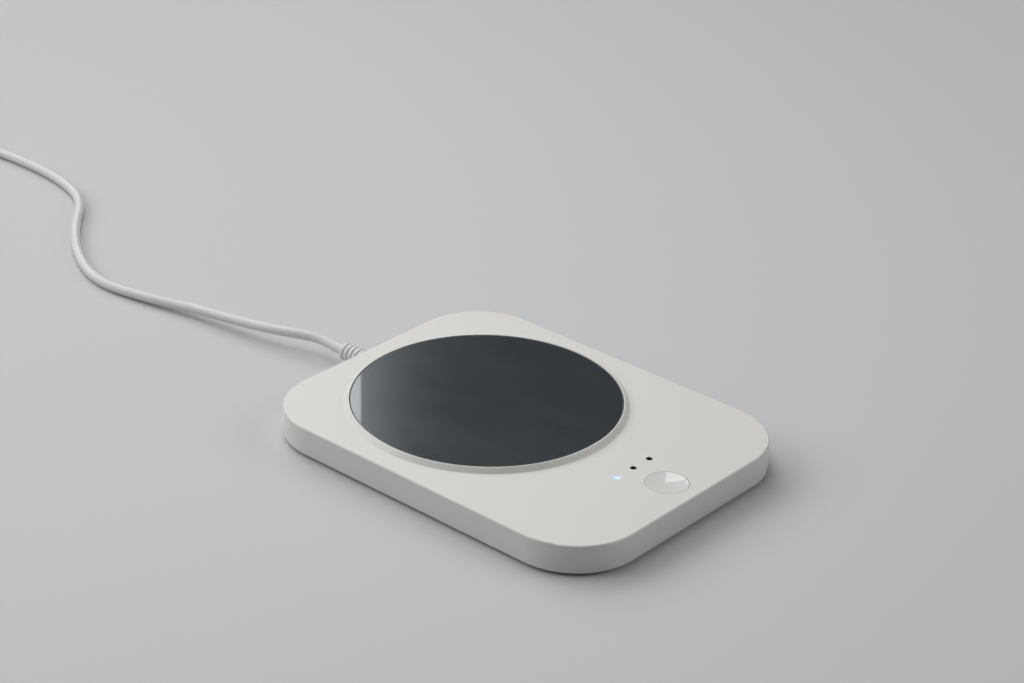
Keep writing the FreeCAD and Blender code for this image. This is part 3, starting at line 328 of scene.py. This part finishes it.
def fibre_felt():
    """White felt with its fibres lying mostly one way."""
    shader = Shader("fibre_felt")
    fibres = shader.noise(scale=900.0, detail=5.0, roughness=0.8, stretch=(1.0, 3.0, 1.0))
    shader.colour(fibres, (206, 204, 198), (232, 230, 224))
    shader.rough(fibres, 0.85, 1.0)
    shader.bump(fibres, strength=0.6, distance=0.0002)
    return shader


def mica_sheet():
    """Pressed mica with its flakes."""
    shader = Shader("mica_sheet")
    flakes = shader.spots(scale=260.0)
    shader.colour(shader.spread(flakes, 0.0, 1.0, start=0.1, end=0.6), (150, 132, 96), (190, 174, 138))
    shader.rough(shader.noise(scale=120.0), 0.3, 0.5)
    shader.bump(flakes, strength=0.2, distance=0.00004)
    return shader


def make_materials():
    """One material for each material slot of the record."""
    shaders = {"casing": casing_plastic(), "glass": heated_glass(), "lens_lit": lit_lens(),
               "lens_dark": dark_lens(), "board": circuit_board(), "felt": fibre_felt(), "mica": mica_sheet()}
    for kind, rows in ((plastic, PLASTICS), (rubber, RUBBERS), (metal, METALS)):
        for slot_name, row in rows.items():
            shaders[slot_name] = kind(*row)
    return {slot_name: shader.material for slot_name, shader in shaders.items()}


def dress_nodes():
    """Each CAD node takes the material of its slot in the record."""
    for row in frame["record"]["subparts"]:
        data = frame["nodes"][row["node"]].data
        data.materials.clear()
        data.materials.append(MATERIALS[row["material_slot"]])


# The free cord: the same route as the part's tube, with listed points, then its coil and its tail
CORD_RADIUS = 1.75 * MM
CORD_HEIGHT = 1.80 * MM
CORD_BEVEL_RESOLUTION = 6
CORD_RESOLUTION = 10
EXIT_HEIGHT = 5.8 * MM
COIL_CENTRE = Vector((-0.3430, 0.0064, 0))
COIL_OUTER_RADIUS = 26.0 * MM
COIL_PITCH = 4.85 * MM
COIL_LAYER_RISE = 4.0 * MM
COIL_HALF_TURNS_PER_LAYER = 5
COIL_POINTS_PER_HALF_TURN = 8
COIL_END_LENGTH = 2 * CORD_RADIUS
CORD_LEAD_IN = 12.0 * MM
PLUG_AXIS_HEIGHT = 3.9 * MM
TAIL_STRAIGHT = 6.5 * MM
TAIL_LENGTH = 21.5 * MM
TAIL_SIDESTEP = 1.2 * MM

COIL_TOP_HEIGHT = CORD_HEIGHT + COIL_LAYER_RISE
COIL_START = Vector((COIL_CENTRE.x + COIL_END_LENGTH, COIL_CENTRE.y + COIL_OUTER_RADIUS, CORD_HEIGHT))
COIL_EXIT = Vector((COIL_CENTRE.x + COIL_END_LENGTH, COIL_CENTRE.y - COIL_OUTER_RADIUS, COIL_TOP_HEIGHT))
PLUG_ENTRY = Vector((COIL_EXIT.x + TAIL_LENGTH, COIL_EXIT.y - TAIL_SIDESTEP, PLUG_AXIS_HEIGHT))

ROUTE = [
    (RELIEF_LOW.x, 0.0, EXIT_HEIGHT),
    (-0.0865, 0.0, EXIT_HEIGHT),
    (-0.0950, 0.0, 0.0064),
    (-0.1080, -0.0050, 0.0060),
    (-0.1240, -0.0079, 0.0046),
    (-0.1450, -0.0101, 0.0032),
    (-0.1690, -0.0158, 0.0020),
    (-0.1910, -0.0189, CORD_HEIGHT),
    (-0.2130, -0.0092, CORD_HEIGHT),
    (-0.2320, 0.0054, CORD_HEIGHT),
    (-0.2490, 0.0236, CORD_HEIGHT),
    (-0.2680, 0.0306, CORD_HEIGHT),
    (-0.2920, 0.0326, CORD_HEIGHT),
    (-0.3160, 0.0309, CORD_HEIGHT),
    (COIL_START.x + CORD_LEAD_IN, COIL_START.y, CORD_HEIGHT),
    tuple(COIL_START),
]

TAIL = [
    tuple(COIL_EXIT),
    (COIL_EXIT.x + TAIL_STRAIGHT, COIL_EXIT.y, COIL_TOP_HEIGHT),
    (PLUG_ENTRY.x - TAIL_STRAIGHT, PLUG_ENTRY.y, PLUG_AXIS_HEIGHT),
    tuple(PLUG_ENTRY),
]


def coil_points():
    """The turns: in on the lower layer, up a layer at the inside, and out again on top."""
    climb = COIL_HALF_TURNS_PER_LAYER
    radii = [COIL_OUTER_RADIUS - step * COIL_PITCH / 2 for step in range(climb + 1)]
    radii += radii[::-1]
    points = []
    for number in range(len(radii) - 1):
        side = 1 if number % 2 == 0 else -1
        middle_y = COIL_CENTRE.y + side * (radii[number] - radii[number + 1]) / 2
        radius = (radii[number] + radii[number + 1]) / 2
        # The control points stand a little outside the turn, which the spline then follows
        wide = radius / math.cos(math.pi / COIL_POINTS_PER_HALF_TURN / 2)
        for step in range(COIL_POINTS_PER_HALF_TURN):
            share = (step + 0.5) / COIL_POINTS_PER_HALF_TURN
            angle = math.pi * share
            if number < climb:
                height = CORD_HEIGHT
            elif number > climb:
                height = COIL_TOP_HEIGHT
            else:
                height = CORD_HEIGHT + COIL_LAYER_RISE * (1 - math.cos(angle)) / 2
            points.append((COIL_CENTRE.x - side * wide * math.sin(angle),
                           middle_y + side * wide * math.cos(angle), height))
    return points


def make_cord():
    points = ROUTE + coil_points() + TAIL
    curve = bpy.data.curves.new("power_lead", "CURVE")
    curve.dimensions = "3D"
    curve.bevel_depth = CORD_RADIUS
    curve.bevel_resolution = CORD_BEVEL_RESOLUTION
    curve.resolution_u = CORD_RESOLUTION
    curve.use_fill_caps = True
    spline = curve.splines.new("NURBS")
    spline.points.add(len(points) - 1)
    for target, point in zip(spline.points, points):
        target.co = (*point, 1.0)
    spline.order_u = 3
    spline.use_endpoint_u = True
    curve.materials.append(MATERIALS["cord"])
    lead = bpy.data.objects.new("power_lead", curve)
    bpy.context.scene.collection.objects.link(lead)
    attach(lead, "casing")
    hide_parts("power_cord", "power_cord_coil", "power_cord_tail")
    return lead


# Mesh helpers
ON_AXIS = 1e-7
LARGEST_CORNER_SHARE = 0.45


def mesh_piece(name, build, slot_name, body="casing"):
    """A new mesh object, made by build(bmesh), that rides on a body."""
    mesh = bpy.data.meshes.new(name)
    work = bmesh.new()
    build(work)
    bmesh.ops.recalc_face_normals(work, faces=work.faces)
    work.to_mesh(mesh)
    work.free()
    for polygon in mesh.polygons:
        polygon.use_smooth = True
    piece = bpy.data.objects.new(name, mesh)
    bpy.context.scene.collection.objects.link(piece)
    mesh.materials.append(MATERIALS[slot_name])
    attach(piece, body)
    return piece


def spun(work, profile, centre, axis, steps):
    """Turns a list of (distance along the axis, radius) round an axis, +X or +Z, through centre."""
    along = Vector(axis)
    side = Vector((1, 0, 0)) if along.z else Vector((0, 0, 1))
    other = along.cross(side)
    rings = []
    for place, radius in profile:
        if radius < ON_AXIS:
            rings.append([work.verts.new(centre + along * place)])
            continue
        turn = []
        for number in range(steps):
            angle = 2 * math.pi * number / steps
            turn.append(work.verts.new(centre + along * place
                                       + (side * math.cos(angle) + other * math.sin(angle)) * radius))
        rings.append(turn)
    for first, second in zip(rings, rings[1:]):
        for number in range(steps):
            after = (number + 1) % steps
            corners = [first[number % len(first)], first[after % len(first)],
                       second[after % len(second)], second[number % len(second)]]
            unique = list(dict.fromkeys(corners))
            if len(unique) > 2:
                work.faces.new(unique)


def rounded_profile(points, radius, steps):
    """Rounds each inner corner of an open (place, radius) profile with a small arc."""
    result = [points[0]]
    for before, corner, after in zip(points, points[1:], points[2:]):
        here = Vector(corner)
        back = Vector(before) - here
        ahead = Vector(after) - here
        reach = min(radius, back.length * LARGEST_CORNER_SHARE, ahead.length * LARGEST_CORNER_SHARE)
        start = here + back.normalized() * reach
        end = here + ahead.normalized() * reach
        for step in range(steps + 1):
            share = step / steps
            point = start * (1 - share) ** 2 + here * (2 * share * (1 - share)) + end * share ** 2
            result.append((point.x, point.y))
    result.append(points[-1])
    return result


def join_loops(work, first, second):
    """Faces between two closed loops of as many corners."""
    for number in range(len(first)):
        after = (number + 1) % len(first)
        work.faces.new((first[number], first[after], second[after], second[number]))


# Strain relief: the sleeve outside the wall, with soft rounded rings
RELIEF_RINGS = 5
RELIEF_RING_PITCH = 2.0 * MM
RELIEF_GROOVE = 0.7 * MM
RELIEF_COLLAR_LENGTH = 1.4 * MM
RELIEF_COLLAR_RADIUS = 3.6 * MM
RELIEF_ROOT_RADIUS = 3.35 * MM
RELIEF_END_RADIUS = 3.1 * MM
RELIEF_CORE_RADIUS = 2.6 * MM
RELIEF_NECK_RADIUS = 2.9 * MM
RELIEF_ROUND = 0.34 * MM
RELIEF_ROUND_STEPS = 4
RELIEF_STEPS = 72
WALL_THICKNESS = 1.8 * MM


def build_relief(work):
    wall_x = COVER_LOW.x
    inner_x = wall_x + 2 * WALL_THICKNESS
    profile = [(inner_x, 0.0), (inner_x, RELIEF_NECK_RADIUS), (wall_x, RELIEF_NECK_RADIUS)]
    profile += [(wall_x, RELIEF_COLLAR_RADIUS), (wall_x - RELIEF_COLLAR_LENGTH, RELIEF_COLLAR_RADIUS)]
    start = wall_x - RELIEF_COLLAR_LENGTH
    for number in range(RELIEF_RINGS):
        share = number / (RELIEF_RINGS - 1)
        radius = RELIEF_ROOT_RADIUS + (RELIEF_END_RADIUS - RELIEF_ROOT_RADIUS) * share
        here = start - number * RELIEF_RING_PITCH
        profile += [(here, RELIEF_CORE_RADIUS), (here - RELIEF_GROOVE, RELIEF_CORE_RADIUS),
                    (here - RELIEF_GROOVE, radius), (here - RELIEF_RING_PITCH, radius)]
    profile += [(RELIEF_LOW.x, RELIEF_CORE_RADIUS), (RELIEF_LOW.x, 0.0)]
    rounded = rounded_profile(profile, RELIEF_ROUND, RELIEF_ROUND_STEPS)
    spun(work, rounded, Vector((0, 0, EXIT_HEIGHT)), (1, 0, 0), RELIEF_STEPS)


# Coil strap: a soft band round all the turns at the coil's far side, pressed flat where it goes under them
STRAP_WIDTH = 6.0 * MM
STRAP_THICKNESS = 0.8 * MM
STRAP_SLACK = 0.1 * MM
STRAP_INNER_SLACK = 0.4 * MM
STRAP_UNDERSIDE = 0.01 * MM
STRAP_UNDER_CORD = 0.04 * MM
STRAP_CORNER_STEPS = 6

# Place across half the strap's width, and the share of its thickness there, which rounds its edges
STRAP_EDGE = ((-1.0, 0.35), (-0.97, 0.7), (-0.88, 0.95), (-0.6, 1.0), (0.0, 1.0),
              (0.6, 1.0), (0.88, 0.95), (0.97, 0.7), (1.0, 0.35))


def strap_loop(inner, outer, low, high, radius):
    """A rounded rectangle of points (distance from the coil's middle, height)."""
    corners = ((outer - radius, high - radius), (inner + radius, high - radius),
               (inner + radius, low + radius), (outer - radius, low + radius))
    loop = []
    for number, (across, height) in enumerate(corners):
        for step in range(STRAP_CORNER_STEPS + 1):
            angle = math.pi * (number / 2 + step / STRAP_CORNER_STEPS / 2)
            loop.append((across + radius * math.cos(angle), height + radius * math.sin(angle)))
    return loop


def strap_corners(work, loop, offset):
    """The loop's corners at an offset along the coil, following its turns."""
    return [work.verts.new((COIL_CENTRE.x - math.sqrt(across ** 2 - offset ** 2),
                            COIL_CENTRE.y + offset, height)) for across, height in loop]


def build_strap(work):
    # A half turn lies midway between the radii that it starts and ends at
    innermost = COIL_OUTER_RADIUS - (COIL_HALF_TURNS_PER_LAYER - 0.5) * COIL_PITCH / 2
    outermost = COIL_OUTER_RADIUS - COIL_PITCH / 4
    inner = innermost - CORD_RADIUS - STRAP_INNER_SLACK
    outer = outermost + CORD_RADIUS + STRAP_SLACK
    top = COIL_TOP_HEIGHT + CORD_RADIUS + STRAP_SLACK
    inside = strap_loop(inner, outer, STRAP_UNDER_CORD, top, CORD_RADIUS)
    rings = []
    for along, fullness in STRAP_EDGE:
        thick = STRAP_THICKNESS * fullness
        outside = strap_loop(inner - thick, outer + thick, STRAP_UNDERSIDE, top + thick, CORD_RADIUS + thick)
        offset = along * STRAP_WIDTH / 2
        rings.append((strap_corners(work, outside, offset), strap_corners(work, inside, offset)))
    for here, there in zip(rings, rings[1:]):
        join_loops(work, here[0], there[0])
        join_loops(work, here[1], there[1])
    join_loops(work, *rings[0])
    join_loops(work, *rings[-1])


# Button cap: the same turned shape as the part's, with a smooth dish for its reflections
BUTTON_RADIUS = 7.0 * MM
BUTTON_RIM = 0.2 * MM
BUTTON_RIM_CHAMFER = 0.08 * MM
BUTTON_DISH_DEPTH = 0.6 * MM
BUTTON_FLANGE_TOP = 8.85 * MM
BUTTON_ROUND = 0.03 * MM
BUTTON_ROUND_STEPS = 2
BUTTON_DISH_STEPS = 40
BUTTON_STEPS = 128


def build_button(work):
    top, bottom = CAP_HIGH.z, CAP_LOW.z
    flange_radius = (CAP_HIGH.x - CAP_LOW.x) / 2
    dish_radius = BUTTON_RADIUS - BUTTON_RIM
    sphere = (dish_radius ** 2 + BUTTON_DISH_DEPTH ** 2) / (2 * BUTTON_DISH_DEPTH)
    edge_angle = math.asin(dish_radius / sphere)
    profile = [(bottom, 0.0), (bottom, flange_radius), (BUTTON_FLANGE_TOP, flange_radius),
               (BUTTON_FLANGE_TOP, BUTTON_RADIUS), (top - BUTTON_RIM_CHAMFER, BUTTON_RADIUS),
               (top, BUTTON_RADIUS - BUTTON_RIM_CHAMFER), (top, dish_radius)]
    profile = rounded_profile(profile, BUTTON_ROUND, BUTTON_ROUND_STEPS)
    for step in range(1, BUTTON_DISH_STEPS + 1):
        angle = edge_angle * (1 - step / BUTTON_DISH_STEPS)
        profile.append((top - BUTTON_DISH_DEPTH + sphere * (1 - math.cos(angle)), sphere * math.sin(angle)))
    spun(work, profile, Vector((CAP_MIDDLE.x, CAP_MIDDLE.y, 0)), (0, 0, 1), BUTTON_STEPS)


# Floor and surroundings
FLOOR_HALF_SIZE = 6.0
FLOOR_COLOURS = ((196, 197, 198), (199, 200, 201))
WORLD_COLOUR = (186, 188, 190)
WORLD_STRENGTH = 0.22


def make_floor():
    half = FLOOR_HALF_SIZE
    corners = [(-half, -half, 0), (half, -half, 0), (half, half, 0), (-half, half, 0)]
    mesh = bpy.data.meshes.new("floor")
    mesh.from_pydata(corners, [], [(0, 1, 2, 3)])
    floor = bpy.data.objects.new("floor", mesh)
    bpy.context.scene.collection.objects.link(floor)
    shader = Shader("floor_paper")
    shader.colour(shader.noise(scale=1.2), *FLOOR_COLOURS)
    shader.set(Roughness=0.75)
    mesh.materials.append(shader.material)


def make_world():
    world = bpy.data.worlds.new("studio")
    bpy.context.scene.world = world
    world.use_nodes = True
    background = world.node_tree.nodes["Background"]
    background.inputs["Color"].default_value = (*srgb(*WORLD_COLOUR), 1.0)
    background.inputs["Strength"].default_value = WORLD_STRENGTH


# Light. Each standing panel covers a range of compass angles, from +X towards +Y, and of heights, in
# degrees as seen from the middle of the disc. Its row: name, distance, compass angles, heights, brightness.
LIGHT_TARGET = Vector((GLASS_MIDDLE.x, GLASS_MIDDLE.y, GLASS_TOP))
STANDING_PANELS = (
    ("window_left_low", 1.9, (135.6, 195.0), (20.0, 40.0), 2.8),
    ("window_left_high", 1.9, (124.0, 195.0), (40.5, 55.0), 2.8),
    ("window_front_left", 1.9, (197.0, 240.0), (16.0, 46.0), 3.5),
    ("reflector_right", 2.0, (20.0, 60.0), (15.0, 44.0), 2.3),
)
OVERHEAD_PLACE = Vector((-0.16, 0.0, 0.65))
OVERHEAD_SIZE = 0.4
OVERHEAD_BRIGHTNESS = 2.3


def panel(name, centre, facing, width, height, brightness):
    data = bpy.data.lights.new(name, "AREA")
    data.shape = "RECTANGLE"
    data.size = width
    data.size_y = height
    data.energy = brightness * math.pi * width * height
    lamp = bpy.data.objects.new(name, data)
    bpy.context.scene.collection.objects.link(lamp)
    lamp.location = centre
    lamp.rotation_mode = "QUATERNION"
    lamp.rotation_quaternion = facing.to_track_quat("-Z", "Y")
    lamp.visible_camera = False


def standing_panel(name, distance, azimuths, elevations, brightness):
    middle = math.radians(sum(azimuths) / 2)
    half = distance * math.tan(math.radians(abs(azimuths[1] - azimuths[0]) / 2))
    low, high = (distance * math.tan(math.radians(angle)) for angle in elevations)
    outward = Vector((math.cos(middle), math.sin(middle), 0))
    centre = LIGHT_TARGET + outward * distance + Vector((0, 0, (low + high) / 2))
    panel(name, centre, -outward, 2 * half, high - low, brightness)


# Everything is made here
make_camera()
MATERIALS = make_materials()
dress_nodes()
LEAD = make_cord()
RELIEF = mesh_piece("strain_relief_sleeve", build_relief, "cord")
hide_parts("strain_relief")
STRAP = mesh_piece("coil_strap", build_strap, "wire_white")
BUTTON = mesh_piece("button_cap_gloss", build_button, "button", "power_button")
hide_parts("button_cap")
make_floor()
make_world()
for row in STANDING_PANELS:
    standing_panel(*row)
panel("overhead", OVERHEAD_PLACE, Vector((0, 0, -1)), OVERHEAD_SIZE, OVERHEAD_SIZE, OVERHEAD_BRIGHTNESS)

bpy.context.scene.view_settings.view_transform = "Standard"
